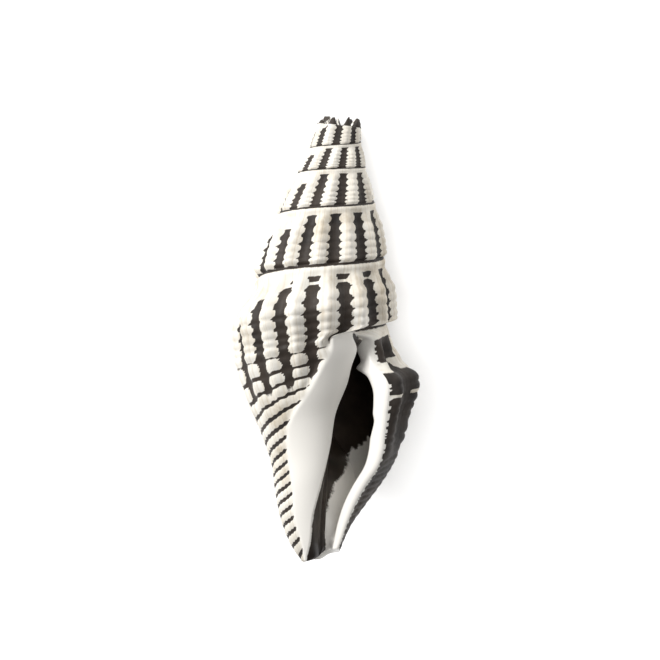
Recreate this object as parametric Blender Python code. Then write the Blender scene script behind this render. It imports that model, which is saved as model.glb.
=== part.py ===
"""A ribbed turrid sea snail shell, 26 mm long, lying on its back with its mouth up.

The shell is one tube that coils to the right round a leaning axis. A place on its outside is given by two numbers:
how many turns back from the lip it lies, and how far down the whorl's outline it lies, from the suture (0) to the
next suture (1) and, on the last whorl, on down the base to the end of the canal (2). The shell is worked out
standing, top up and mouth towards -Y, and then laid down with its top towards +Y.
"""
import math

import bmesh
import bpy
from mathutils import Matrix, Vector

MM = 0.001

# The coil, in turns back from the lip
LIP_AZIMUTH = -39.0
TOP_TURNS = 5.5
# Turns back from the lip, and the height in mm of the suture above the tip of the canal
SUTURE_HEIGHTS = ((-1.0, 8.2), (0.0, 13.5), (0.86, 17.25), (1.86, 20.65), (2.86, 22.85), (3.86, 24.25),
                  (4.86, 25.9), (5.86, 27.3))
# Turns back from the lip, and the radius in mm at the suture, then over the ribs
SUTURE_RADII = ((-1.0, 4.9), (0.0, 3.9), (0.86, 3.55), (1.86, 2.72), (2.86, 1.94), (3.86, 1.46), (4.86, 1.18),
                (5.86, 0.95))
RIB_RADII = ((-1.0, 6.3), (0.0, 5.5), (0.86, 4.75), (1.86, 3.66), (2.86, 2.6), (3.86, 1.92), (4.86, 1.45),
             (5.86, 1.28))

# Turns back from the lip, and how many gaps between ribs lie between there and the lip
GAP_COUNTS = ((-0.2, -4.1), (0.0, -0.76), (0.3, 4.3), (0.715, 11.0), (0.841, 13.0), (0.984, 15.0), (1.733, 26.0),
              (1.962, 29.0), (2.726, 38.0), (2.996, 41.0), (3.709, 48.0), (4.006, 51.0), (4.744, 58.0),
              (4.984, 60.0), (5.86, 68.0))
RIB_DEPTH = 0.1
# Place down the outline, and how strong the ribs are there
RIB_STRENGTH = ((0.0, 0.0), (0.08, 0.12), (0.15, 0.4), (0.28, 1.0), (0.9, 1.0), (1.0, 0.8), (1.18, 0.45),
                (1.4, 0.0), (2.0, 0.0))

# Places down the outline of one whorl, and how far it swells out there: at the lip, on the last whorl and above it
SWELL_PLACES = (0.0, 0.05, 0.12, 0.24, 0.4, 0.58, 0.8, 0.94, 1.0)
LIP_SWELL = (0.0, 0.05, 0.12, 0.15, 0.35, 0.95, 0.6, 0.2, 0.0)
LAST_SWELL = (0.0, 0.2, 0.2, 0.5, 1.35, 1.55, 0.75, 0.18, 0.0)
WHORL_SWELL = (0.0, 0.2, 0.17, 0.5, 0.88, 1.0, 0.97, 0.8, 0.0)
SWELL_MIDDLE = 0.6
WHORL_ROWS = (0.0, 0.1, 0.24, 0.4, 0.6, 0.86, 1.0)

# Places down the base, and the radii in mm there of the mouth's inner edge, the left side, the back, the right
# side and the lip, and of the pillar inside
BASE_ROWS = (1.0, 1.12, 1.23, 1.35, 1.5, 1.65, 1.8, 1.92, 2.0)
BASE_INNER = (3.95, 3.35, 2.8, 2.3, 1.93, 1.7, 1.5, 1.23, 1.0)
BASE_LEFT = (5.05, 4.6, 4.1, 3.45, 2.83, 2.6, 2.25, 1.72, 1.1)
BASE_BACK = (5.15, 4.8, 4.35, 3.8, 3.1, 2.6, 2.1, 1.6, 1.0)
BASE_RIGHT = (5.37, 5.2, 4.88, 4.44, 3.68, 2.77, 1.9, 1.4, 1.15)
BASE_LIP = (5.3, 5.1, 4.9, 4.45, 3.5, 2.7, 2.1, 1.7, 1.4)
PILLAR = (3.4, 2.5, 1.9, 1.35, 0.95, 0.75, 0.6, 0.5, 0.42)
# How many turns forward of the lip's azimuth the mouth's inner edge lies at those places
INNER_SHIFT = (0.0, 0.044, 0.05, 0.078, 0.093, 0.133, 0.189, 0.222, 0.29)
LEFT_TURNS = 0.61
BACK_TURNS = 0.36
RIGHT_TURNS = 0.11
# Turns back from the lip, and the height in mm of the shell's lower rim
RIM_HEIGHTS = ((0.0, 0.75), (0.11, 0.55), (0.26, 0.4), (0.36, 0.06), (0.56, 0.12), (0.71, 0.0), (1.0, 0.6))
OPEN_RIM = 0.42

# The thick rib behind the lip
VARIX_TURNS = 0.06
VARIX_SPREAD = 0.045
VARIX_HEIGHT = 0.55
VARIX_STRENGTH = ((0.0, 0.0), (0.43, 0.0), (0.52, 1.0), (0.72, 0.9), (1.05, 0.0), (2.0, 0.0))

# How far, in turns, the mouth's top corner is pulled round over the whorl before it
CORNER_PULL = 0.063
CORNER_TURNS = 0.1
CORNER_LENGTH = 0.06

# The worn top: its height in mm, how high the ribs stand above it, and how far above it the shell would draw in
# to nothing
TOP_LEVEL = 25.4
STUB_HEIGHT = 0.55
TOP_SPAN = 2.8

# The mouth and the hollow behind it: the lip's width in mm at places down the outline
LIP_WIDTHS = ((0.0, 0.1), (0.12, 0.4), (0.25, 0.8), (0.35, 1.2), (0.55, 1.3), (0.7, 1.2), (0.9, 1.1),
              (1.15, 1.1), (1.5, 1.0), (1.8, 0.75), (2.0, 0.45))
LIP_REACH = 0.3
FLOOR_LIFT = 0.35
WALL = 0.5
HOLLOW_TURNS = (0.04, 0.1, 0.18, 0.28, 0.4, 0.55, 0.7)
HOLLOW_FLOOR_RISE = 9.0
HOLLOW_RISE_TURNS = 0.5

# The spire's lean to the right, in degrees, and the heights in mm where it comes in
SPIRE_LEAN = 6.2
LEAN_FROM = 12.2
LEAN_TO = 18.2

# How the shell lies, in degrees, and how much its back is worn flat, in mm
REST_ROLL = 8.7
REST_PITCH = -13.67
FLAT_DEPTH = 0.16

COLUMNS = 72
SHELL_COLOUR = (0.82, 0.79, 0.72, 1.0)


def value_at(points, place):
    """The value at a place on a smooth curve through (place, value) points."""
    last = len(points) - 1
    index = 0
    while index < last - 1 and place > points[index + 1][0]:
        index += 1
    (x0, y0), (x1, y1) = points[index], points[index + 1]
    before = points[max(index - 1, 0)]
    after = points[min(index + 2, last)]
    span = x1 - x0
    slope0 = (y1 - before[1]) / (x1 - before[0])
    slope1 = (after[1] - y0) / (after[0] - x0)
    u = min(max((place - x0) / span, 0.0), 1.0)
    rise = u * u * (3 - 2 * u)
    return y0 + (y1 - y0) * rise + span * u * (1 - u) * (slope0 * (1 - u) - slope1 * u)


def ease(low, high, value):
    """0 below low, 1 above high, and smooth between."""
    u = min(max((value - low) / (high - low), 0.0), 1.0)
    return u * u * (3 - 2 * u)


def down_base(values, place):
    """The value at a place down the base, of values given at the base's rows."""
    return value_at(tuple(zip(BASE_ROWS, values)), place)


def base_radius(turns, place):
    inner_turns = 1.0 - down_base(INNER_SHIFT, place)
    meridians = ((0.0, BASE_LIP), (RIGHT_TURNS, BASE_RIGHT), (BACK_TURNS, BASE_BACK), (LEFT_TURNS, BASE_LEFT),
                 (inner_turns, BASE_INNER))
    return value_at([(at, down_base(radii, place)) for at, radii in meridians], turns)


def swell_shape(turns, place):
    """How far out a whorl swells at a place, as a share of its full swell."""
    lip, last, above = [value_at(tuple(zip(SWELL_PLACES, shape)), place)
                        for shape in (LIP_SWELL, LAST_SWELL, WHORL_SWELL)]
    shape = last + (lip - last) * (1.0 - ease(0.05, 0.4, turns))
    return shape + (above - shape) * ease(0.85, 1.0, turns)


def outline(turns, place):
    """The radius over the ribs and the height of a place on the outside."""
    top = value_at(SUTURE_HEIGHTS, turns)
    foot = value_at(SUTURE_HEIGHTS, turns - 1.0)
    if place > 1.0:
        rim = value_at(RIM_HEIGHTS, turns)
        return base_radius(turns, place), rim + (foot - rim) * (2.0 - place)
    high = value_at(SUTURE_RADII, turns)
    low = base_radius(turns, 1.0) if turns < 1.0 else value_at(SUTURE_RADII, turns - 1.0)
    swell = max(value_at(RIB_RADII, turns) - high - (low - high) * SWELL_MIDDLE, 0.0)
    return high + (low - high) * place + swell * swell_shape(turns, place), top + (foot - top) * place


def rib_gap(turns):
    """0 on the crest of a rib and 1 in the middle of the gap between two ribs."""
    return 0.5 + 0.5 * math.cos(2 * math.pi * value_at(GAP_COUNTS, turns))


def varix(turns, place):
    across = (turns - VARIX_TURNS) / VARIX_SPREAD
    return VARIX_HEIGHT * math.exp(-across * across) * value_at(VARIX_STRENGTH, place)


def top_corner(turns, place):
    """1 at the mouth's top corner and 0 away from it."""
    before = 1.0 if turns > 0.5 else 0.0
    return math.exp(-((turns - before) / CORNER_TURNS) ** 2 - ((place - before) / CORNER_LENGTH) ** 2)


def azimuth(turns):
    return math.radians(LIP_AZIMUTH) + 2 * math.pi * turns


def outside(turns, place):
    """Radius, azimuth and height of a place on the ribbed outside."""
    radius, height = outline(turns, place)
    gap = rib_gap(turns)
    ribs = RIB_DEPTH * value_at(RIB_RADII, turns) * value_at(RIB_STRENGTH, place)
    radius = radius + varix(turns, place) - ribs * gap
    stub = TOP_LEVEL + STUB_HEIGHT * (1.0 - gap) ** 3
    radius = radius * (1.0 - max(height - stub, 0.0) / TOP_SPAN)
    around = azimuth(turns - CORNER_PULL * top_corner(turns, place))
    return radius, around, min(height, stub)


def hollow(turns, side, place):
    """Radius, azimuth and height of a place on the hollow's pillar side, floor or outer side."""
    top = value_at(SUTURE_HEIGHTS, turns) - WALL
    floor = value_at(RIM_HEIGHTS, 0.0) + HOLLOW_FLOOR_RISE * ease(0.0, HOLLOW_RISE_TURNS, turns)
    growth = value_at(RIB_RADII, turns) / value_at(RIB_RADII, 0.0)
    pillar_foot = PILLAR[-1] * growth
    if side == "pillar":
        radius = down_base(PILLAR, place) * growth
        height = floor + (top - floor) * (2.0 - place)
    elif side == "outer":
        above_rim = outline(turns, place)[1] - value_at(RIM_HEIGHTS, turns)
        height = floor + (top - floor) * above_rim / (top + WALL - value_at(RIM_HEIGHTS, turns))
        radius = max(radius_at(turns, height) - WALL, pillar_foot)
    else:
        radius = pillar_foot + (radius_at(turns, floor) - WALL - pillar_foot) * place
        height = floor
    return radius, azimuth(turns), height


def radius_at(turns, height):
    """The outside radius, in the gaps of the ribs, at a height."""
    top = value_at(SUTURE_HEIGHTS, turns)
    foot = value_at(SUTURE_HEIGHTS, turns - 1.0)
    rim = value_at(RIM_HEIGHTS, turns)
    if height > foot:
        place = (top - height) / (top - foot)
    else:
        place = 2.0 - max(height - rim, 0.0) / (foot - rim)
    return outline(turns, place)[0] - RIB_DEPTH * value_at(RIB_RADII, turns) * value_at(RIB_STRENGTH, place)


def standing(radius, around, height):
    """The point of the standing shell, in metres, at a radius, azimuth and height of its leaning axis."""
    lean = math.radians(SPIRE_LEAN) * ease(LEAN_FROM, LEAN_TO, height)
    middle = max(height - 0.5 * (LEAN_FROM + LEAN_TO), 0.0) * math.tan(math.radians(SPIRE_LEAN))
    across = radius * math.cos(around)
    return MM * Vector((middle + across * math.cos(lean), radius * math.sin(around),
                        height - across * math.sin(lean)))


class Sheet:
    """The vertices of the shell's outside, by column (from the worn top to the lip) and row (down the outline)."""

    def __init__(self, bm):
        self.bm = bm
        self.last = round(TOP_TURNS * COLUMNS)
        self.rows = len(WHORL_ROWS) - 1
        self.base_rows = self.rows + len(BASE_ROWS) - 1
        self.made = {}

    def turns(self, column):
        return (self.last - column) / COLUMNS

    def vertex(self, column, row):
        """A row's last vertex is the first one of the next whorl, one turn on."""
        if row == self.rows and column + COLUMNS <= self.last:
            column, row = column + COLUMNS, 0
        if (column, row) not in self.made:
            self.made[column, row] = self.bm.verts.new(standing(*self.place(column, row)))
        return self.made[column, row]

    def place(self, column, row):
        turns = self.turns(column)
        if row <= self.rows:
            return outside(turns, WHORL_ROWS[row])
        place = BASE_ROWS[row - self.rows]
        return outside(turns * (1.0 - down_base(INNER_SHIFT, place)), place)

    def faces(self):
        for column in range(self.last):
            rows = self.base_rows if self.turns(column) <= 1.0 else self.rows
            for row in range(rows):
                corners = [self.vertex(column, row), self.vertex(column, row + 1),
                           self.vertex(column + 1, row + 1), self.vertex(column + 1, row)]
                self.bm.faces.new(corners)


def close_top(sheet):
    """The worn top: one fan over the first whorl's upper edge."""
    edge = [sheet.vertex(column, 0) for column in range(COLUMNS + 1)]
    edge += [sheet.vertex(0, row) for row in range(sheet.rows - 1, 0, -1)]
    middle = sum((vertex.co for vertex in edge), Vector()) / len(edge)
    middle.z = max(vertex.co.z for vertex in edge)
    centre = sheet.bm.verts.new(middle)
    for here, after in zip(edge, edge[1:] + edge[:1]):
        sheet.bm.faces.new((centre, here, after))


def join_rings(bm, ring, next_ring):
    for index, here in enumerate(ring):
        after = (index + 1) % len(ring)
        corners = (here, ring[after], next_ring[after], next_ring[index])
        bm.faces.new(corners)


def mouth_places(sheet):
    """The edge of the outside round the mouth, as (column, row), with its side and place in the hollow."""
    first = sheet.last - COLUMNS
    rim_first = first + round(OPEN_RIM * COLUMNS)
    edge = [(first, row, "pillar", BASE_ROWS[row - sheet.rows]) for row in range(sheet.rows, sheet.base_rows + 1)]
    count = sheet.last - rim_first
    edge += [(rim_first + step, sheet.base_rows, "floor", (step + 1) / (count + 1)) for step in range(count)]
    edge += [(sheet.last, row, "outer", BASE_ROWS[row - sheet.rows])
             for row in range(sheet.base_rows, sheet.rows, -1)]
    edge += [(sheet.last, row, "outer", WHORL_ROWS[row]) for row in range(sheet.rows, 0, -1)]
    return edge


def lip_place(outer, width, share):
    """A place on the rounded lip, share of the way from the outside (0) over its crest (0.5) to the inside (1)."""
    radius, around, height = outer
    reach = LIP_REACH * math.sin(math.pi * share)
    inwards = width * 0.5 * (1 - math.cos(math.pi * share))
    return max(radius - inwards, 0.3), around - reach / max(radius, 1.0), height


def hollow_rings(sheet, edge):
    """Rings of vertices over the lip and back into the hollow."""
    bm = sheet.bm
    outer = [sheet.place(column, row) for column, row, side, place in edge]
    rings = [[sheet.vertex(column, row) for column, row, side, place in edge]]
    inside = [hollow(HOLLOW_TURNS[0], side, place) for column, row, side, place in edge]
    for share in (0.5, 1.0):
        ring = []
        for start, end, (column, row, side, place) in zip(outer, inside, edge):
            if side == "pillar":
                start = (start[0], start[1] - 2 * math.pi, start[2])
                point = [a + (b - a) * share * 0.6 for a, b in zip(start, end)]
            else:
                point = lip_place(start, value_at(LIP_WIDTHS, place if side == "outer" else 2.0), share)
                if side == "floor":
                    point = (point[0], point[1], point[2] + FLOOR_LIFT * share * (1.0 - place))
            ring.append(bm.verts.new(standing(*point)))
        rings.append(ring)
    for turns in HOLLOW_TURNS:
        rings.append([bm.verts.new(standing(*hollow(turns, side, place))) for column, row, side, place in edge])
    return rings


def close_mouth(sheet):
    edge = mouth_places(sheet)
    rings = hollow_rings(sheet, edge)
    for ring, next_ring in zip(rings, rings[1:]):
        join_rings(sheet.bm, ring, next_ring)
    sheet.bm.faces.new(rings[-1])
    first = sheet.last - COLUMNS
    pillar_end = [sheet.vertex(first + step, sheet.base_rows) for step in range(round(OPEN_RIM * COLUMNS) + 1)]
    sheet.bm.faces.new(pillar_end)


def lay_down(bm):
    """Top towards +Y and mouth up, rolled and pitched to where the shell rests, with its back worn flat."""
    turn = Matrix.Rotation(math.radians(-90.0 + REST_PITCH), 4, "X") @ Matrix.Rotation(math.radians(REST_ROLL), 4, "Z")
    bm.transform(turn)
    low = [min(vertex.co[axis] for vertex in bm.verts) for axis in range(3)]
    high = [max(vertex.co[axis] for vertex in bm.verts) for axis in range(3)]
    middle = Vector(((low[0] + high[0]) / 2, (low[1] + high[1]) / 2, low[2] + FLAT_DEPTH * MM))
    bm.transform(Matrix.Translation(-middle))
    everything = bm.verts[:] + bm.edges[:] + bm.faces[:]
    cut = bmesh.ops.bisect_plane(bm, geom=everything, plane_co=(0, 0, 0), plane_no=(0, 0, 1), clear_inner=True)
    rim = [item for item in cut["geom_cut"] if isinstance(item, bmesh.types.BMEdge)]
    bmesh.ops.holes_fill(bm, edges=rim)


def shell_material():
    material = bpy.data.materials.new("shell")
    material.use_nodes = True
    shader = material.node_tree.nodes["Principled BSDF"]
    shader.inputs["Base Color"].default_value = SHELL_COLOUR
    shader.inputs["Roughness"].default_value = 0.45
    shader.inputs["Metallic"].default_value = 0.0
    return material


def build_shell():
    bm = bmesh.new()
    sheet = Sheet(bm)
    sheet.faces()
    close_top(sheet)
    close_mouth(sheet)
    bmesh.ops.recalc_face_normals(bm, faces=bm.faces)
    lay_down(bm)
    bmesh.ops.triangulate(bm, faces=bm.faces)
    mesh = bpy.data.meshes.new("shell")
    bm.to_mesh(mesh)
    bm.free()
    mesh.shade_smooth()
    mesh.materials.append(shell_material())
    return bpy.data.objects.new("shell", mesh)


def main():
    for old in list(bpy.data.objects):
        bpy.data.objects.remove(old, do_unlink=True)
    collection = bpy.data.collections.new("clavatula panopla")
    bpy.context.scene.collection.children.link(collection)
    collection.objects.link(build_shell())


main()
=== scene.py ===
"""The looks of a ribbed turrid sea snail shell that lies on its back with its mouth up.

A place on the shell's outside is given by two numbers: how many turns back from the lip it lies, and how
far down the whorl's outline it lies, from the suture (0) to the next suture (1) and, on the last whorl, on
down the base to the end of the canal (2). Lengths are in millimetres until a mesh is made, and heights are
those of the standing shell. A pair of numbers that ends in EDGE, or says where something begins or ends, gives
where a change starts and where it is complete.
"""

import bpy
import numpy as np
from mathutils import Matrix, Vector


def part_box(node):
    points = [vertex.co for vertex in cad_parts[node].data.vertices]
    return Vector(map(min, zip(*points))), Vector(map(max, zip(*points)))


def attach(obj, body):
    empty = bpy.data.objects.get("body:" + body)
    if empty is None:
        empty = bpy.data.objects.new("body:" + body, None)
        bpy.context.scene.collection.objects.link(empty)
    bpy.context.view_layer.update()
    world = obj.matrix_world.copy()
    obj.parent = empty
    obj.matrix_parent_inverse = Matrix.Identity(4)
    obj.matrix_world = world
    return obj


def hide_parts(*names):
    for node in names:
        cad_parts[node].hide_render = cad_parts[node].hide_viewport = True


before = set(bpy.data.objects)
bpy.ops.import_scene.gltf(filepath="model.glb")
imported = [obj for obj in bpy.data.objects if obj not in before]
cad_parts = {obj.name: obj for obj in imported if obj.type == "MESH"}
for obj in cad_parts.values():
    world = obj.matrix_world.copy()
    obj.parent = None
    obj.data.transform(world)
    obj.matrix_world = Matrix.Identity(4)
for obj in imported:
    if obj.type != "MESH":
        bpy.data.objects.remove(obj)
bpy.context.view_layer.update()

MM = 0.001

# The coil, in turns back from the lip
LIP_AZIMUTH = -39.0
TOP_TURNS = 5.5
TURNS = (-1.0, 0.0, 0.86, 1.86, 2.86, 3.86, 4.86, 5.86)
SUTURE_HEIGHTS = (8.2, 13.5, 17.25, 20.65, 22.85, 24.25, 25.9, 27.3)
SUTURE_RADII = (4.9, 3.9, 3.55, 2.72, 1.94, 1.46, 1.18, 0.95)
RIB_RADII = (6.3, 5.5, 4.75, 3.66, 2.6, 1.92, 1.45, 1.28)

# The ribs: how many gaps lie between a place and the lip, how far they slant, and how deep the gaps are
RIB_COUNT_TURNS = (-0.2, 0.0, 0.3, 0.715, 0.841, 0.984, 1.733, 1.962, 2.726, 2.996, 3.709, 4.006, 4.744,
                   4.984, 5.86)
RIB_COUNTS = (-4.1, -0.76, 4.3, 11.0, 13.0, 15.0, 26.0, 29.0, 38.0, 41.0, 48.0, 51.0, 58.0, 60.0, 68.0)
RIB_SLANTS = (0.0, 0.0, -0.005, -0.004, 0.015, 0.02, 0.02, 0.02)
RIB_DEPTH = 0.105
RIB_PLACES = (0.0, 0.08, 0.15, 0.28, 0.9, 1.0, 1.18, 1.4, 2.0)
RIB_STRENGTH = (0.0, 0.12, 0.4, 1.0, 1.0, 0.8, 0.45, 0.0, 0.0)
GAP_POWER = 0.8

# The spiral cords: how many lie above a place down the outline, and how high they stand
CORD_PLACES = (0.0, 1.0, 2.0)
CORD_COUNTS = (0.0, 7.6, 25.0)
CORD_TWIST = 9.0
CORD_TWIST_FROM = 0.72
CORD_TWIST_EDGE = (1.0, 1.3)
CORD_POWER = 0.7
CORD_HEIGHT = 0.1
CORD_FULL_RADIUS = 4.75
CORD_LOSS_IN_GAP = 0.45
PLAIN_LIP_TURNS = 0.02
CORD_STRENGTH_PLACES = (0.0, 0.1, 0.2, 0.34, 0.9, 1.5, 1.9, 2.0)
CORD_STRENGTH = (0.0, 0.05, 0.35, 0.9, 1.0, 1.1, 0.8, 0.4)

# The outline of a whorl
SWELL_PLACES = (0.0, 0.05, 0.12, 0.24, 0.4, 0.58, 0.8, 0.94, 1.0)
WHORL_SWELL = (0.0, 0.2, 0.17, 0.5, 0.88, 1.0, 0.97, 0.8, 0.0)
LIP_SWELL = (0.0, 0.05, 0.12, 0.15, 0.35, 0.95, 0.6, 0.2, 0.0)
LAST_SWELL = (0.0, 0.2, 0.2, 0.5, 1.35, 1.55, 0.75, 0.18, 0.0)
SWELL_MIDDLE = 0.6

# Places down the base, and the radii there of the mouth's inner edge, the left side, the back, the right
# side and the lip, and of the pillar inside
BASE_ROWS = (1.0, 1.12, 1.23, 1.35, 1.5, 1.65, 1.8, 1.92, 2.0)
BASE_INNER = (3.95, 3.35, 2.8, 2.3, 1.93, 1.7, 1.5, 1.23, 1.0)
BASE_LEFT = (5.05, 4.6, 4.1, 3.45, 2.83, 2.6, 2.25, 1.72, 1.1)
BASE_BACK = (5.15, 4.8, 4.35, 3.8, 3.1, 2.6, 2.1, 1.6, 1.0)
BASE_RIGHT = (5.37, 5.2, 4.88, 4.44, 3.68, 2.77, 1.9, 1.4, 1.15)
BASE_LIP = (5.3, 5.1, 4.9, 4.45, 3.5, 2.7, 2.1, 1.7, 1.4)
PILLAR = (3.1, 2.1, 1.55, 1.0, 0.65, 0.5, 0.42, 0.36, 0.3)
INNER_SHIFT = (0.0, 0.044, 0.05, 0.078, 0.093, 0.133, 0.189, 0.222, 0.29)
LEFT_TURNS = 0.61
BACK_TURNS = 0.36
RIGHT_TURNS = 0.11
RIM_TURNS = (0.0, 0.11, 0.26, 0.36, 0.56, 0.71, 1.0)
RIM_HEIGHTS = (0.75, 0.55, 0.4, 0.06, 0.12, 0.0, 0.6)
OPEN_RIM = 0.42

# The smooth callus beside the mouth: how many turns wide it is, down the base
CALLUS_WIDTH = (0.1, 0.11, 0.145, 0.18, 0.19, 0.145, 0.1, 0.06, 0.02)
CALLUS_HEIGHT = 0.09
CALLUS_EDGE = (-0.025, 0.005)
CALLUS_TOP_EDGE = (0.91, 0.99)

# The thick rib behind the lip
VARIX_TURNS = 0.06
VARIX_SPREAD = 0.045
VARIX_HEIGHT = 0.55
VARIX_PLACES = (0.0, 0.43, 0.52, 0.72, 1.05, 2.0)
VARIX_STRENGTH = (0.0, 0.0, 1.0, 0.9, 0.0, 0.0)

# The sides of the mouth's edge
PILLAR_SIDE, FLOOR_SIDE, OUTER_SIDE = 0, 1, 2

# The lip round the mouth
LIP_PLACES = (0.0, 0.06, 0.12, 0.17, 0.25, 0.35, 0.55, 0.7, 0.9, 1.0, 1.15, 1.5, 1.8, 2.0)
LIP_WIDTHS = (0.6, 1.4, 1.75, 1.45, 1.28, 1.15, 1.35, 1.2, 1.1, 0.95, 1.1, 1.0, 0.75, 0.45)
FLOOR_LIP_WIDTH = 0.3
LEAST_LIP_RADIUS = 0.25
LIP_REACH = 0.32
LIP_STEPS = 10
FLOOR_LIFT = 0.35
PILLAR_BLEND = 0.4
PILLAR_SINK_EDGE = (1.0, 1.1)
KNOB_PLACE = 0.42
KNOB_LENGTH = 0.05
KNOB_HEIGHT = 0.5

# The hollow behind the mouth, and the shade painted in it and on the mouth's pillar side and slit: pale, as
# painted light, to the right of a line through heights and distances
WALL = 0.42
HOLLOW_START = 0.02
HOLLOW_TURNS = 0.8
HOLLOW_STEP_POWER = 1.5
HOLLOW_BLEND_EDGE = (-0.02, 0.1)
HOLLOW_SHADE = 0.9
PILLAR_DARK_EDGE = (0.0, 0.2)
SLIT_DARK_EDGE = (0.75, 0.95)
SLIT_ENDS = (0.3, 0.35)
HOLLOW_DARK_EDGE = (0.02, 0.05)
PALE_EDGE = (-0.75, 0.8)
PALE_HEIGHTS = (0.0, 1.2, 2.45, 3.7, 4.5, 4.85, 5.4, 6.3, 6.7, 7.2, 7.8)
PALE_FROM = (0.5, 0.2, 0.1, 0.6, 0.8, 1.2, 1.5, 1.75, 2.4, 3.0, 7.0)
HOLLOW_STEPS = 44
HOLLOW_FLOOR_RISE = 9.0
HOLLOW_RISE_TURNS = 0.5

# How far the mouth's top corner is pulled round over the whorl before, and how far its inner edge hangs down
CORNER_PULL = 0.063
CORNER_TURNS = 0.1
CORNER_LENGTH = 0.06
CORNER_DROP = 0.45

# The broken top: its height, how high the ribs stand above it, how far above it the shell would draw in to
# nothing, and how far its middle lies below its edge
TOP_LEVEL = 25.4
STUB_HEIGHT = 0.55
STUB_POWER = 3
TOP_SPAN = 3.1
TOP_SINK = 0.12
TOP_EDGE = (-0.05, 0.1)
TOP_PLACE_ENDS = (0.9, 1.0)

# The discs that close the top, the end of the canal and the end of the hollow, and how much shade is painted on
# each, rising from the loop towards the middle
TOP_SHADE = 0.5
CANAL_END_SHADE = 0.9
DEEP_END_SHADE = 1.0
CAP_SINK_EDGE = (0.0, 0.3)
CAP_SHADE_EDGE = (0.0, 0.25)

# The gaps between the ribs get painted shade: where it starts under the suture, and how much lower it starts on
# the shoulder of the left side, towards the key lamp, which is left pale as painted light
GAP_SHADE_EDGE = (0.5, 0.72)
GAP_SHADE_WAVER = 0.4
CORD_MIDDLE = 0.6
SHADE_FROM = 0.1
SHADE_FADE = 0.08
SHADE_ENDS = (1.1, 1.27)
LIT_SHOULDER = 0.2
LIT_SHOULDER_BEGINS = (0.45, 0.55)
LIT_SHOULDER_ENDS = (0.74, 0.8)

# The pale thread across the painted shade in the gaps of the last whorl
THREAD_PLACE = 0.23
THREAD_WIDTH = 0.018
THREAD_ENDS = (0.95, 1.05)

# Painted shade in the grooves of the base and a painted shadow line along the suture
GROOVE_EDGE = (0.42, 0.68)
GROOVE_BEGINS = (0.9, 1.15)
GROOVE_WIDENS = (1.2, 1.35)
GROOVE_WIDENING = 0.16
SEAM_EDGE = (0.012, 0.03)
SEAM_SHADE = 0.8

# Painted shade in the dark bands behind the lip, on the side turned away from the key lamp, and how much lighter
# the crests of the cords there are left, as painted light
FLANK_BEGINS = (-0.01, 0.003)
FLANK_ENDS = (0.06, 0.17)
CREST_LIGHTENING = 0.5
CREST_LIGHT_EDGE = (0.8, 1.0)
CREST_LIGHT_BEGINS = (0.03, 0.1)
FLANK_PLACES = (0.0, 0.09, 0.13, 0.34, 0.38, 0.46, 0.5, 0.7, 0.72, 0.74, 0.76, 1.9, 2.0)
FLANK_SHADE = (0.0, 0.0, 0.8, 0.8, 0.1, 0.1, 0.9, 0.9, 0.2, 0.2, 0.9, 0.8, 0.5)

# The notch in the lip just under its suture
SINUS_TURNS = 0.006
SINUS_PLACE = 0.27
SINUS_LENGTH = 0.13
SINUS_FADE = 0.12

# The lean to the right, in degrees, and the heights where it changes
SPIRE_LEAN = 6.2
LEAN_FROM = 12.2
LEAN_TO = 18.2

# How the shell lies
REST_ROLL = 8.7
REST_PITCH = -13.67
FLAT_DEPTH = 0.16

# How fine the mesh is, how near two points are joined, and how near the cut a point counts as on it, in metres
COLUMNS = 200
WHORL_STEPS = 50
BASE_STEPS = 96
CAP_STEPS = 8
JOIN_DISTANCE = 2e-7
CUT_TOLERANCE = 1e-8

# Colours, as stops of a ramp, or plain
BONE = ((0.3, (0.55, 0.48, 0.37, 1)), (0.45, (0.8, 0.75, 0.66, 1)), (0.62, (0.89, 0.86, 0.79, 1)))
GROWTH_TINT = ((0.38, (0.78, 0.72, 0.62, 1)), (0.52, (1, 1, 1, 1)))
# The dark colours of the painted shade, and the ramp that gives it a sharp edge
PAINTED_SHADE_COLOURS = ((0.35, (0.014, 0.011, 0.009, 1)), (0.65, (0.05, 0.037, 0.028, 1)))
PAINTED_SHADE_EDGE = ((0.7, (0, 0, 0, 1)), (0.86, (1, 1, 1, 1)))
GLAZE = (0.94, 0.91, 0.85, 1)
PAPER = (0.9, 0.9, 0.9, 1)

# How the surface is broken up: scales per metre, and strengths
BLOTCH_SCALE = 380.0
GRAIN_SCALE = 2400.0
GROWTH_LINES_PER_TURN = 140.0
GROWTH_TINT_SHARE = 0.5
# How ragged the edge of the painted shade is
RAGGED_PAINTED_SHADE = 0.7
ROUGHNESS_PLAIN = 0.6
ROUGHNESS_GLAZED = 0.3
BUMP_PLAIN = 0.5
BUMP_GLAZED = 0.08
BUMP_METRES = 0.00006
SPECULAR = 0.35
PAPER_ROUGHNESS = 0.9
FLOOR_METRES = 2.0

# The camera looks square at the mouth side of the standing shell; the picture is 660 pixels wide
PIXEL = 0.0584
PICTURE_WIDTH = 660 * PIXEL
PICTURE_MIDDLE = (0.6, 13.5)
LENS = 200.0
NEAREST_METRES = 0.01

# The lamps: towards where they stand, seen from the standing shell, metres away, metres wide and watts
KEY_LAMP = ((-0.72, -0.58, 0.42), 0.4, 0.16, 1.8)
FILL_LAMP = ((0.25, -1.0, 0.1), 0.6, 0.3, 0.9)
PAPER_LAMP = ((0.0, -1.0, 0.0), 0.5, 0.4, 2.5)
LAMP_AIM = (0.0, 0.0, 13.0)
ROOM_LIGHT = 0.14


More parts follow.
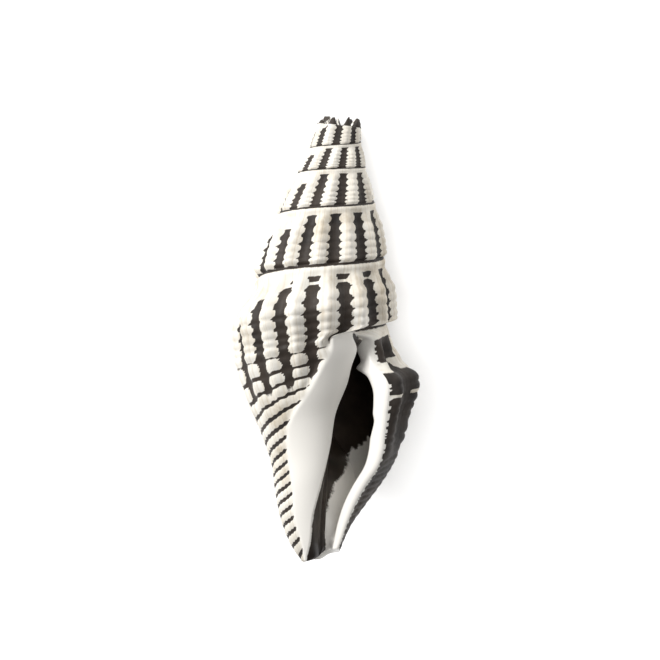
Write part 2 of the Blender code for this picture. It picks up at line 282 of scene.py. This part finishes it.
def through(places, values, at):
    """Values on a smooth curve through (place, value) points, each a number or an array."""
    last = len(places) - 1
    result = 0.0
    for index in range(last):
        before = max(index - 1, 0)
        after = min(index + 2, last)
        x0, x1, y0, y1 = places[index], places[index + 1], values[index], values[index + 1]
        slope0 = (y1 - values[before]) / (x1 - places[before])
        slope1 = (values[after] - y0) / (places[after] - x0)
        u = np.clip((at - x0) / (x1 - x0), 0.0, 1.0)
        part = y0 + (y1 - y0) * u * u * (3 - 2 * u) + (x1 - x0) * u * (1 - u) * (slope0 * (1 - u) - slope1 * u)
        result = part if index == 0 else np.where(at > x0, part, result)
    return result


def ease(low, high, value):
    """0 below low, 1 above high, and smooth between."""
    u = np.clip((value - low) / (high - low), 0.0, 1.0)
    return u * u * (3 - 2 * u)


def suture_height(turns):
    return through(TURNS, SUTURE_HEIGHTS, turns)


def rim_height(turns):
    return through(RIM_TURNS, RIM_HEIGHTS, turns)


def down_base(values, place):
    return through(BASE_ROWS, values, place)


def base_radius(turns, place):
    knots = (0.0, RIGHT_TURNS, BACK_TURNS, LEFT_TURNS, 1.0 - down_base(INNER_SHIFT, place))
    radii = [down_base(values, place) for values in (BASE_LIP, BASE_RIGHT, BASE_BACK, BASE_LEFT, BASE_INNER)]
    return through(knots, radii, turns)


def outline(turns, place):
    """The radius over the ribs and the height of a place on the outside."""
    top = suture_height(turns)
    foot = suture_height(turns - 1.0)
    rim = rim_height(turns)
    high = through(TURNS, SUTURE_RADII, turns)
    low = np.where(turns < 1.0, base_radius(turns, 1.0), through(TURNS, SUTURE_RADII, turns - 1.0))
    swell = np.maximum(through(TURNS, RIB_RADII, turns) - high - (low - high) * SWELL_MIDDLE, 0.0)
    shape = through(SWELL_PLACES, LAST_SWELL, place)
    shape = shape + (through(SWELL_PLACES, LIP_SWELL, place) - shape) * (1.0 - ease(0.05, 0.4, turns))
    shape = shape + (through(SWELL_PLACES, WHORL_SWELL, place) - shape) * ease(0.85, 1.0, turns)
    whorl = high + (low - high) * place + swell * shape
    radius = np.where(place > 1.0, base_radius(turns, place), whorl)
    height = np.where(place > 1.0, rim + (foot - rim) * (2.0 - place), top + (foot - top) * place)
    return radius, height


def rib_depth(turns, place):
    """How deep the gaps between the ribs are."""
    return RIB_DEPTH * through(TURNS, RIB_RADII, turns) * through(RIB_PLACES, RIB_STRENGTH, place)


def radius_at(turns, height):
    """The outside radius in the gaps of the ribs at a height."""
    top = suture_height(turns)
    foot = suture_height(turns - 1.0)
    rim = rim_height(turns)
    whorl_place = np.clip((top - height) / (top - foot), 0.0, 1.0)
    base_place = 2.0 - np.clip((height - rim) / (foot - rim), 0.0, 1.0)
    place = np.where(height > foot, whorl_place, base_place)
    return outline(turns, place)[0] - rib_depth(turns, place)


def rib_gap(turns, place):
    """0 on the crest of a rib and 1 in the middle of the gap between two ribs."""
    slanted = turns + through(TURNS, RIB_SLANTS, turns) * (place - 0.5)
    return 0.5 + 0.5 * np.cos(2 * np.pi * through(RIB_COUNT_TURNS, RIB_COUNTS, slanted))


def cord_wave(turns, place):
    """1 on the crest of a spiral cord and 0 in the groove between two."""
    twist = CORD_TWIST * (turns - CORD_TWIST_FROM) * ease(*CORD_TWIST_EDGE, place)
    return np.abs(np.sin(np.pi * (through(CORD_PLACES, CORD_COUNTS, place) + twist))) ** CORD_POWER


def callus(turns, place):
    """1 on the smooth callus beside the mouth and 0 away from it."""
    past_width = 1.0 - down_base(INNER_SHIFT, place) - turns - down_base(CALLUS_WIDTH, place)
    beside = 1.0 - ease(*CALLUS_EDGE, past_width)
    return beside * ease(*CALLUS_TOP_EDGE, place) * (turns <= 1.0)


def varix(turns, place):
    across = (turns - VARIX_TURNS) / VARIX_SPREAD
    return VARIX_HEIGHT * np.exp(-across * across) * through(VARIX_PLACES, VARIX_STRENGTH, place)


def top_corner(turns, place):
    """1 at the mouth's top corner and 0 away from it."""
    before = turns > 0.5
    return np.exp(-((turns - before) / CORNER_TURNS) ** 2 - ((place - before) / CORNER_LENGTH) ** 2)


def azimuth(turns):
    return np.radians(LIP_AZIMUTH) + 2 * np.pi * turns


def painted_shade_of(turns, place, gap, wave):
    """How much shade is painted on a place: in the gaps of the ribs, the grooves of the base, the suture and
    behind the lip.
    """
    around = turns % 1.0
    # Painted shade in the gaps between the ribs, starting lower on the left shoulder, which is left pale as
    # painted light
    start = SHADE_FROM + LIT_SHOULDER * ease(*LIT_SHOULDER_BEGINS, around) * (1.0 - ease(*LIT_SHOULDER_ENDS, around))
    gaps = ease(*GAP_SHADE_EDGE, gap + GAP_SHADE_WAVER * (CORD_MIDDLE - wave))
    gaps = gaps * ease(start, start + SHADE_FADE, place) * (1.0 - ease(*SHADE_ENDS, place))
    thread = np.exp(-((place - THREAD_PLACE) / THREAD_WIDTH) ** 4) * (1.0 - ease(*THREAD_ENDS, turns))
    # Painted shade in the grooves of the base and a painted shadow line along the suture
    wide = GROOVE_WIDENING * ease(*GROOVE_WIDENS, place)
    grooves = ease(GROOVE_EDGE[0] - wide, GROOVE_EDGE[1] - wide, 1.0 - wave) * ease(*GROOVE_BEGINS, place)
    seam = 1.0 - ease(*SEAM_EDGE, np.minimum(place, np.abs(1.0 - place) + (turns < 1.0)))
    # Painted shade behind the lip, on the side turned from the key lamp, with the crests of the cords left lighter
    # as painted light
    flank = ease(*FLANK_BEGINS, turns) * (1.0 - ease(*FLANK_ENDS, turns))
    flank = flank * through(FLANK_PLACES, FLANK_SHADE, place)
    flank = flank * (1.0 - CREST_LIGHTENING * ease(*CREST_LIGHT_EDGE, wave) * ease(*CREST_LIGHT_BEGINS, turns))
    return np.maximum(np.maximum(gaps * (1.0 - thread), grooves), np.maximum(SEAM_SHADE * seam, flank))


def outside(turns, place):
    """Radius, azimuth and height of a place on the sculptured outside, how much shade is painted on it and how
    smooth it is.
    """
    radius, height = outline(turns, place)
    gap = rib_gap(turns, place)
    wave = cord_wave(turns, place)
    smooth = callus(turns, place)
    cords = CORD_HEIGHT / CORD_FULL_RADIUS * through(TURNS, RIB_RADII, turns)
    cords = cords * through(CORD_STRENGTH_PLACES, CORD_STRENGTH, place) * (1.0 - CORD_LOSS_IN_GAP * gap)
    cut = rib_depth(turns, place) * gap ** GAP_POWER + cords * (1.0 - wave) * ease(0.0, PLAIN_LIP_TURNS, turns)
    radius = radius + varix(turns, place) - cut * (1.0 - smooth) + CALLUS_HEIGHT * smooth

    notch = SINUS_TURNS * np.exp(-((place - SINUS_PLACE) / SINUS_LENGTH) ** 2)
    notch = notch * (1.0 - ease(0.0, SINUS_FADE, turns))
    around = azimuth(turns + notch - CORNER_PULL * top_corner(turns, place))

    # The stubs of the broken top get painted shade
    broken = ease(*TOP_EDGE, height - TOP_LEVEL) * (1.0 - ease(*TOP_PLACE_ENDS, place))
    painted_shade = np.maximum(painted_shade_of(turns, place, gap, wave) * (1.0 - smooth), broken)
    stub = TOP_LEVEL + STUB_HEIGHT * (1.0 - gap) ** STUB_POWER
    radius = radius * (1.0 - np.maximum(height - stub, 0.0) / TOP_SPAN)
    return (radius, around, np.minimum(height, stub)), painted_shade, smooth


def hollow(turns, side, place):
    """Radius, azimuth and height of a place on the hollow's pillar side, floor or outer side."""
    top = suture_height(turns) - WALL
    floor = rim_height(0.0) + HOLLOW_FLOOR_RISE * ease(0.0, HOLLOW_RISE_TURNS, turns)
    growth = through(TURNS, RIB_RADII, turns) / RIB_RADII[1]
    pillar_foot = PILLAR[-1] * growth
    rim = rim_height(turns)
    height = floor + (top - floor) * (outline(turns, place)[1] - rim) / (top + WALL - rim)
    outer = np.maximum(radius_at(turns, height) - WALL, pillar_foot)
    floor_radius = pillar_foot + (radius_at(turns, floor) - WALL - pillar_foot) * place
    pillar = down_base(PILLAR, place) * growth
    up_pillar = floor + (top - floor) * (2.0 - place)
    radius = np.select([side == PILLAR_SIDE, side == FLOOR_SIDE], [pillar, floor_radius], outer)
    height = np.select([side == PILLAR_SIDE, side == FLOOR_SIDE], [up_pillar, floor + 0 * place], height)
    return radius, azimuth(turns) + 0 * place, height


def standing(radius, around, height):
    """Points of the standing shell at a radius, azimuth and height of its leaning axis."""
    lean = np.radians(SPIRE_LEAN) * ease(LEAN_FROM, LEAN_TO, height)
    middle = np.maximum(height - 0.5 * (LEAN_FROM + LEAN_TO), 0.0) * np.tan(np.radians(SPIRE_LEAN))
    across = radius * np.cos(around)
    return np.stack((middle + across * np.cos(lean), radius * np.sin(around), height - across * np.sin(lean)), -1)


def deselect():
    bpy.ops.object.select_all(action="DESELECT")


def grid_of(name, points, layers):
    """A grid primitive with its vertices moved to an array of points, and a value layer for each array."""
    columns, rows = points.shape[:2]
    deselect()
    bpy.ops.mesh.primitive_grid_add(x_subdivisions=rows - 1, y_subdivisions=columns - 1, size=1.0)
    piece = bpy.context.active_object
    piece.name = name
    mesh = piece.data
    mesh.vertices.foreach_set("co", (points * MM).reshape(-1))
    for layer, values in layers.items():
        attribute = mesh.attributes.new(layer, "FLOAT", "POINT")
        attribute.data.foreach_set("value", np.ascontiguousarray(values, np.float32).reshape(-1))
    mesh.update()
    return piece


def whorls_sheet():
    """The outside from the worn top to the lip. Each whorl's lower edge is the upper edge of the next."""
    columns = round(TOP_TURNS * COLUMNS)
    turns = np.linspace(columns / COLUMNS, 0.0, columns + 1)[:, None]
    place = np.linspace(0.0, 1.0, WHORL_STEPS + 1)[None, :]
    turns, place = np.broadcast_arrays(turns, place)
    around_axis, painted_shade, smooth = outside(turns, place)
    points = standing(*around_axis)
    points[:-COLUMNS, -1] = points[COLUMNS:, 0]
    return grid_of("whorls", points, {"painted_shade": painted_shade, "smooth": smooth, "turns": turns, "place": place}), points


def base_sheet(corner):
    """The outside below the last whorl, from the mouth's inner edge round to the lip."""
    share = np.linspace(1.0, 0.0, COLUMNS + 1)[:, None]
    place = np.linspace(1.0, 2.0, BASE_STEPS + 1)[None, :]
    share, place = np.broadcast_arrays(share, place)
    turns = share * (1.0 - down_base(INNER_SHIFT, place))
    around_axis, painted_shade, smooth = outside(turns, place)
    points = standing(*around_axis)
    points[0, 0] = corner
    return grid_of("base", points, {"painted_shade": painted_shade, "smooth": smooth, "turns": turns, "place": place}), points


def mouth_edge():
    """The mouth's edge, once round from its top corner: turns, place, side, and the place across that side."""
    down = np.linspace(1.0, 2.0, BASE_STEPS + 1)
    pillar_turns = 1.0 - down_base(INNER_SHIFT, down)
    rim_turns = np.linspace(1.0, 0.0, COLUMNS + 1)[round(OPEN_RIM * COLUMNS):-1]
    rim_turns = rim_turns * (1.0 - INNER_SHIFT[-1])
    rim_share = np.arange(1, len(rim_turns) + 1) / (len(rim_turns) + 1)
    up_lip = np.concatenate((down[:0:-1], np.linspace(0.0, 1.0, WHORL_STEPS + 1)[::-1]))
    turns = np.concatenate((pillar_turns, rim_turns, 0.0 * up_lip))
    place = np.concatenate((down, 0.0 * rim_turns + 2.0, up_lip))
    side = np.repeat((PILLAR_SIDE, FLOOR_SIDE, OUTER_SIDE), (len(down), len(rim_turns), len(up_lip)))
    return turns, place, side, np.concatenate((down, rim_share, up_lip))


def mouth_and_hollow(corner):
    """The rounded lip and the hollow behind it, ring after ring from the outside inwards."""
    turns, place, side, across = mouth_edge()
    radius, around, height = outside(turns, place)[0]
    pillar = side == PILLAR_SIDE
    around = around - 2 * np.pi * pillar
    knob = KNOB_HEIGHT * np.exp(-((place - KNOB_PLACE) / KNOB_LENGTH) ** 2)
    thick = np.where(side == OUTER_SIDE, through(LIP_PLACES, LIP_WIDTHS, place) + knob, FLOOR_LIP_WIDTH)
    drop = CORNER_DROP * top_corner(np.where(pillar, 1.0, 0.0), place)
    inside = hollow(HOLLOW_START, side, across)
    rings, dark = [], []
    for share in np.linspace(0.0, 1.0, LIP_STEPS + 1):
        inwards = thick * 0.5 * (1.0 - np.cos(np.pi * share))
        reach = LIP_REACH * np.sin(np.pi * share) * np.minimum(thick, 1.0) / np.maximum(radius, 1.0)
        blend = PILLAR_BLEND * share
        sink = blend + (1.0 - PILLAR_BLEND) * share * ease(*PILLAR_SINK_EDGE, place)
        lift = FLOOR_LIFT * share * (1.0 - across) * (side == FLOOR_SIDE)
        lip_radius = np.maximum(radius - inwards, LEAST_LIP_RADIUS)
        ring = (np.where(pillar, radius + (inside[0] - radius) * sink, lip_radius),
                np.where(pillar, around + (inside[1] - around) * blend, around - reach),
                np.where(pillar, height + (inside[2] - height) * blend, height) - drop * share + lift)
        rings.append(standing(*ring))
        # Painted shade on the pillar side going into the mouth and in the slit at the top of the lip
        slit = ease(*SLIT_DARK_EDGE, share) * (1.0 - ease(*SLIT_ENDS, place))
        dark.append(np.where(pillar, ease(*PILLAR_DARK_EDGE, share), slit))
    rings[0][0] = corner
    rings[0][-1] = corner
    for step in range(1, HOLLOW_STEPS + 1):
        at = HOLLOW_TURNS * (step / HOLLOW_STEPS) ** HOLLOW_STEP_POWER
        blend = ease(*HOLLOW_BLEND_EDGE, at)
        points = standing(*[a + (b - a) * blend for a, b in zip(ring, hollow(at, side, across))])
        rings.append(points)
        # Painted shade in the hollow, left pale as painted light to the right of a line, where the key lamp
        # reaches the inner wall
        pale = ease(*PALE_EDGE, points[:, 0] - through(PALE_HEIGHTS, PALE_FROM, points[:, 2]))
        dark.append(np.where(pillar, 1.0, (1.0 - pale) * ease(*HOLLOW_DARK_EDGE, at)))
    for points in rings:
        points[-1] = points[0]
    dark = np.stack(dark)
    ones = np.ones_like(dark)
    layers = {"painted_shade": HOLLOW_SHADE * dark, "smooth": ones, "turns": 0.0 * ones, "place": 2.0 * ones}
    return grid_of("mouth", np.stack(rings), layers), rings[-1]


def cap(name, loop, middle, painted_shade, level):
    """A disc from a closed loop to a middle point. A level one drops to its middle's height near the loop."""
    share = np.linspace(0.0, 1.0, CAP_STEPS + 1)[:, None, None]
    points = loop + (middle - loop) * share
    share = share[:, :, 0]
    if level:
        points[:, :, 2] += (loop[:, 2] - middle[2]) * (share - ease(*CAP_SINK_EDGE, share))
    ones = np.ones(points.shape[:2])
    # Painted shade on the disc, rising towards its middle
    layers = {"painted_shade": painted_shade * ease(*CAP_SHADE_EDGE, share) * ones, "smooth": 0.0 * ones,
              "turns": TOP_TURNS * ones, "place": 0.0 * ones}
    return grid_of(name, points, layers)


def make_shell():
    whorls, points = whorls_sheet()
    mouth, deepest = mouth_and_hollow(points[-1, 0])
    top_loop = np.concatenate((points[COLUMNS::-1, 0], points[0, 1:]))
    top_middle = top_loop.mean(0)
    top_middle[2] = TOP_LEVEL - TOP_SINK
    base, base_points = base_sheet(points[-1, 0])
    canal_end = base_points[:round(OPEN_RIM * COLUMNS) + 1, -1]
    canal_end = np.concatenate((canal_end, canal_end[:1]))
    pieces = [whorls, base, mouth, cap("top", top_loop, top_middle, TOP_SHADE, True),
              cap("canal_end", canal_end, canal_end.mean(0), CANAL_END_SHADE, False),
              cap("deep_end", deepest, deepest.mean(0), DEEP_END_SHADE, False)]
    deselect()
    for piece in pieces:
        piece.select_set(True)
    bpy.context.view_layer.objects.active = whorls
    bpy.ops.object.join()
    shell = bpy.context.active_object
    shell.name = "shell_surface"
    bpy.ops.object.mode_set(mode="EDIT")
    bpy.ops.mesh.select_all(action="SELECT")
    bpy.ops.mesh.remove_doubles(threshold=JOIN_DISTANCE)
    bpy.ops.mesh.normals_make_consistent(inside=False)
    bpy.ops.object.mode_set(mode="OBJECT")
    return shell


def lay_down(shell):
    """Top towards +Y and mouth up, at the place of the solid, with its back worn flat. Returns how it was laid."""
    turn = (Matrix.Rotation(np.radians(-90.0 + REST_PITCH), 4, "X")
            @ Matrix.Rotation(np.radians(REST_ROLL), 4, "Z"))
    shell.data.transform(turn)
    corners = np.array([vertex.co for vertex in shell.data.vertices])
    low, high = corners.min(0), corners.max(0)
    solid_low, solid_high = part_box("shell")
    middle = (low + high) / 2
    place = Vector(((solid_low[0] + solid_high[0]) / 2 - middle[0],
                    (solid_low[1] + solid_high[1]) / 2 - middle[1],
                    solid_low[2] - FLAT_DEPTH * MM - low[2]))
    shell.data.transform(Matrix.Translation(place))
    deselect()
    shell.select_set(True)
    bpy.context.view_layer.objects.active = shell
    bpy.ops.object.mode_set(mode="EDIT")
    bpy.ops.mesh.select_all(action="SELECT")
    bpy.ops.mesh.bisect(plane_co=(0, 0, solid_low[2]), plane_no=(0, 0, 1), use_fill=True, clear_inner=True,
                        threshold=CUT_TOLERANCE)
    bpy.ops.object.mode_set(mode="OBJECT")
    bpy.ops.object.shade_smooth()
    return Matrix.Translation(place) @ turn


def node(tree, kind, **values):
    """A new node with the given values on its inputs or, where it has no such input, on itself."""
    made = tree.nodes.new(kind)
    for name, value in values.items():
        if name in made.inputs:
            made.inputs[name].default_value = value
        else:
            setattr(made, name, value)
    return made


def ramp(tree, stops):
    """A new colour ramp with stops of (position, colour)."""
    made = tree.nodes.new("ShaderNodeValToRGB")
    while len(made.color_ramp.elements) < len(stops):
        made.color_ramp.elements.new(0.5)
    for element, (position, colour) in zip(made.color_ramp.elements, stops):
        element.position = position
        element.color = colour
    return made


def shell_finish():
    """Bone with faint blotches and lines of growth, glazed where it is smooth, with ragged dark painted shade."""
    material = bpy.data.materials.new("bone_with_painted_shade")
    material.use_nodes = True
    tree = material.node_tree
    links = tree.links
    shader = tree.nodes["Principled BSDF"]
    shader.inputs["Specular IOR Level"].default_value = SPECULAR
    coordinates = node(tree, "ShaderNodeTexCoord")
    painted_shade = node(tree, "ShaderNodeAttribute", attribute_name="painted_shade")
    smooth = node(tree, "ShaderNodeAttribute", attribute_name="smooth")
    turns = node(tree, "ShaderNodeAttribute", attribute_name="turns")
    blotch = node(tree, "ShaderNodeTexNoise", Scale=BLOTCH_SCALE, Detail=6.0, Roughness=0.62)
    grain = node(tree, "ShaderNodeTexNoise", Scale=GRAIN_SCALE, Detail=6.0, Roughness=0.68)
    links.new(coordinates.outputs["Object"], blotch.inputs["Vector"])
    links.new(coordinates.outputs["Object"], grain.inputs["Vector"])

    # Lines of growth run down each whorl: they follow the turns and waver a little
    growth = node(tree, "ShaderNodeTexNoise", noise_dimensions="1D", Scale=1.0, Detail=3.0, Roughness=0.7)
    waver = node(tree, "ShaderNodeMath", operation="MULTIPLY_ADD")
    waver.inputs[1].default_value = GROWTH_LINES_PER_TURN
    links.new(turns.outputs["Fac"], waver.inputs[0])
    links.new(blotch.outputs["Fac"], waver.inputs[2])
    links.new(waver.outputs["Value"], growth.inputs["W"])

    bone = ramp(tree, BONE)
    links.new(blotch.outputs["Fac"], bone.inputs["Fac"])
    streak = node(tree, "ShaderNodeMix", data_type="RGBA", blend_type="MULTIPLY")
    streak.inputs["Factor"].default_value = GROWTH_TINT_SHARE
    tint = ramp(tree, GROWTH_TINT)
    links.new(growth.outputs["Fac"], tint.inputs["Fac"])
    links.new(bone.outputs["Color"], streak.inputs["A"])
    links.new(tint.outputs["Color"], streak.inputs["B"])
    glaze = node(tree, "ShaderNodeMix", data_type="RGBA")
    glaze.inputs["B"].default_value = GLAZE
    links.new(smooth.outputs["Fac"], glaze.inputs["Factor"])
    links.new(streak.outputs["Result"], glaze.inputs["A"])

    # Painted shade, in dark brown-black, with a ragged edge
    ragged = node(tree, "ShaderNodeMath", operation="MULTIPLY_ADD")
    ragged.inputs[1].default_value = RAGGED_PAINTED_SHADE
    links.new(grain.outputs["Fac"], ragged.inputs[0])
    links.new(painted_shade.outputs["Fac"], ragged.inputs[2])
    edge = ramp(tree, PAINTED_SHADE_EDGE)
    links.new(ragged.outputs["Value"], edge.inputs["Fac"])
    shade_colours = ramp(tree, PAINTED_SHADE_COLOURS)
    links.new(blotch.outputs["Fac"], shade_colours.inputs["Fac"])
    dark = node(tree, "ShaderNodeMix", data_type="RGBA")
    links.new(edge.outputs["Color"], dark.inputs["Factor"])
    links.new(glaze.outputs["Result"], dark.inputs["A"])
    links.new(shade_colours.outputs["Color"], dark.inputs["B"])
    links.new(dark.outputs["Result"], shader.inputs["Base Color"])

    gloss = node(tree, "ShaderNodeMapRange")
    gloss.inputs["To Min"].default_value = ROUGHNESS_PLAIN
    gloss.inputs["To Max"].default_value = ROUGHNESS_GLAZED
    links.new(smooth.outputs["Fac"], gloss.inputs["Value"])
    links.new(gloss.outputs["Result"], shader.inputs["Roughness"])
    relief = node(tree, "ShaderNodeMath", operation="ADD")
    links.new(grain.outputs["Fac"], relief.inputs[0])
    links.new(growth.outputs["Fac"], relief.inputs[1])
    rough = node(tree, "ShaderNodeMapRange")
    rough.inputs["To Min"].default_value = BUMP_PLAIN
    rough.inputs["To Max"].default_value = BUMP_GLAZED
    links.new(smooth.outputs["Fac"], rough.inputs["Value"])
    bump = node(tree, "ShaderNodeBump", Distance=BUMP_METRES)
    links.new(rough.outputs["Result"], bump.inputs["Strength"])
    links.new(relief.outputs["Value"], bump.inputs["Height"])
    links.new(bump.outputs["Normal"], shader.inputs["Normal"])
    return material


def floor_finish():
    material = bpy.data.materials.new("pale_floor")
    material.use_nodes = True
    shader = material.node_tree.nodes["Principled BSDF"]
    shader.inputs["Base Color"].default_value = PAPER
    shader.inputs["Roughness"].default_value = PAPER_ROUGHNESS
    return material


def make_floor():
    deselect()
    bpy.ops.mesh.primitive_plane_add(size=FLOOR_METRES, location=(0, 0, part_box("shell")[0][2]))
    floor = bpy.context.active_object
    floor.name = "floor"
    floor.data.materials.append(floor_finish())
    return floor


def look(at, aim, up):
    """A turned frame at a point, whose -Z looks along aim with +Y as near to up as it goes."""
    back = -aim.normalized()
    right = up.cross(back).normalized()
    turn = Matrix((right, back.cross(right), back)).transposed().to_4x4()
    return Matrix.Translation(at) @ turn


def make_camera(laid):
    camera = bpy.data.objects.new("camera", bpy.data.cameras.new("camera"))
    bpy.context.scene.collection.objects.link(camera)
    camera.data.lens = LENS
    distance = PICTURE_WIDTH * LENS / camera.data.sensor_width
    eye = Vector((PICTURE_MIDDLE[0], -distance, PICTURE_MIDDLE[1])) * MM
    camera.matrix_world = laid @ look(eye, Vector((0, 1, 0)), Vector((0, 0, 1)))
    camera.data.clip_start = NEAREST_METRES
    bpy.context.scene.camera = camera


def make_lamp(name, laid, towards, distance, size, power):
    """A round lamp in the direction towards, given for the standing shell, turned to its middle."""
    lamp = bpy.data.objects.new(name, bpy.data.lights.new(name, "AREA"))
    bpy.context.scene.collection.objects.link(lamp)
    lamp.data.shape = "DISK"
    lamp.data.size = size
    lamp.data.energy = power
    direction = Vector(towards).normalized()
    at = Vector(LAMP_AIM) * MM + direction * distance
    lamp.matrix_world = laid @ look(at, -direction, Vector((0, 0, 1)))
    return lamp


def make_light(laid, floor):
    """A key lamp, a fill lamp and a lamp that lights the floor only, in a softly lit room."""
    make_lamp("key", laid, *KEY_LAMP)
    make_lamp("fill", laid, *FILL_LAMP)
    paper = make_lamp("paper_light", laid, *PAPER_LAMP)
    lit = bpy.data.collections.new("lit_paper")
    lit.objects.link(floor)
    paper.light_linking.receiver_collection = lit
    world = bpy.data.worlds.new("studio")
    world.use_nodes = True
    background = world.node_tree.nodes["Background"]
    background.inputs["Color"].default_value = (1, 1, 1, 1)
    background.inputs["Strength"].default_value = ROOM_LIGHT
    bpy.context.scene.world = world
    bpy.context.scene.view_settings.view_transform = "Standard"


shell = make_shell()
laid = lay_down(shell)
shell.data.materials.clear()
shell.data.materials.append(shell_finish())
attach(shell, "root")
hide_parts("shell")
floor = make_floor()
make_camera(laid)
make_light(laid, floor)
